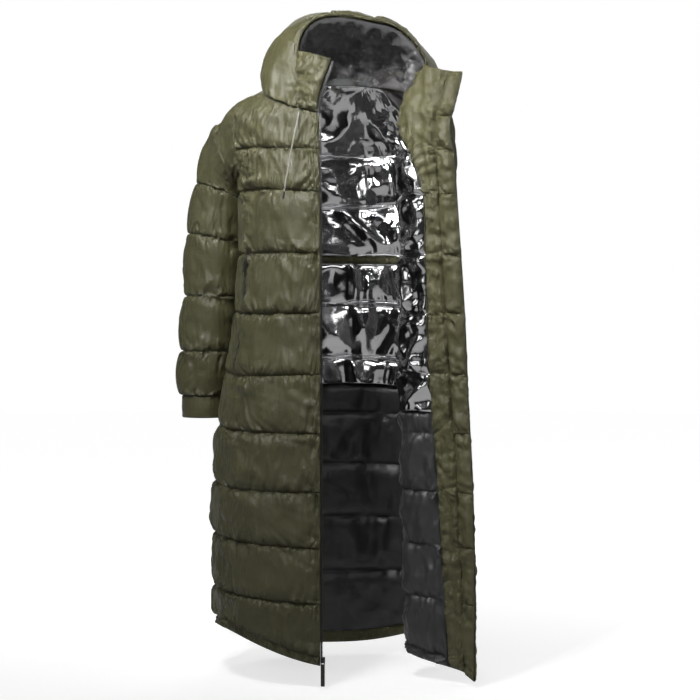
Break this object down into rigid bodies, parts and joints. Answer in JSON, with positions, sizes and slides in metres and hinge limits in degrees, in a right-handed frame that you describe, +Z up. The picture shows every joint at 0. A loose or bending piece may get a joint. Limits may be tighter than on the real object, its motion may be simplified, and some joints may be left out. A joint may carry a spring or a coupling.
{
  "type": "long hooded puffer coat",
  "caption": "Long hooded quilted coat, hollow as if worn, open down the front, with its left front turned back to show the metallic lining.",
  "frame": {"origin": "middle of the neck opening, at the height where the coat rests on the wearer's shoulders", "axes": "+X the wearer's left, -Y the wearer's front, +Z up"},
  "size_m": [0.6483, 0.5624, 1.4278],
  "materials": {
    "olive_nylon": "slightly glossy woven nylon over down padding",
    "olive_facing": "slightly glossy woven nylon",
    "hood_lining": "plain dark grey lining",
    "silver_film": "crinkled metallic film on lining cloth",
    "black_lining": "plain black lining",
    "dark_zip": "moulded plastic and woven tape",
    "dark_metal": "dark coated metal",
    "grey_cord": "round braided cord"
  },
  "bodies": {
    "coat": {"back": "olive_nylon", "front_right": "olive_nylon", "front_left": "olive_nylon", "sleeve_right": "olive_nylon", "sleeve_left": "olive_nylon", "cuff_right": "olive_nylon", "cuff_left": "olive_nylon", "hood_side_right": "olive_nylon", "hood_side_left": "olive_nylon", "hood_centre": "olive_nylon", "hood_rim": "olive_nylon", "collar_right": "olive_nylon", "collar_left": "olive_nylon", "facing_left": "olive_facing", "storm_flap": "olive_facing", "waist_channel": "olive_facing", "hem_facing_back": "olive_facing", "hood_lining": "hood_lining", "lining_back_top": "silver_film", "lining_back_middle": "silver_film", "lining_left_top": "silver_film", "lining_back_low": "black_lining", "lining_left_low": "black_lining", "zip_tape_left": "dark_zip", "zip_tape_right": "dark_zip", "pocket_zip_right": "dark_zip", "pocket_zip_left": "dark_zip", "inner_pocket_zip": "dark_zip", "zip_slider_main": "dark_metal", "zip_slider_pocket_right": "dark_metal", "zip_slider_pocket_left": "dark_metal", "inner_pocket_snap": "dark_metal", "drawcord_right": "grey_cord", "drawcord_left": "grey_cord", "drawcord_tip_right": "grey_cord", "drawcord_tip_left": "grey_cord", "drawcord_bight_right": "grey_cord", "drawcord_bight_left": "grey_cord"},
    "tab_main": {"zip_pull_main": "dark_zip"},
    "tab_pocket_right": {"zip_pull_pocket_right": "dark_zip"},
    "tab_pocket_left": {"zip_pull_pocket_left": "dark_zip"}
  },
  "joints": [
    {"name": "zip_pull_main_swing", "type": "hinge", "parent": "coat", "child": "tab_main", "pos_m": [-0.10449, -0.24443, -1.20208], "axis": [-0.9799, 0.1993, 0], "range_deg": [0, 165]},
    {"name": "zip_pull_pocket_right_swing", "type": "hinge", "parent": "coat", "child": "tab_pocket_right", "pos_m": [-0.24447, -0.07644, -0.37543], "axis": [-0.3502, 0.9362, -0.0282], "range_deg": [0, 165]},
    {"name": "zip_pull_pocket_left_swing", "type": "hinge", "parent": "coat", "child": "tab_pocket_left", "pos_m": [0.23122, -0.00471, -0.37532], "axis": [-0.6182, -0.7814, -0.0853], "range_deg": [0, 165]}
  ]
}
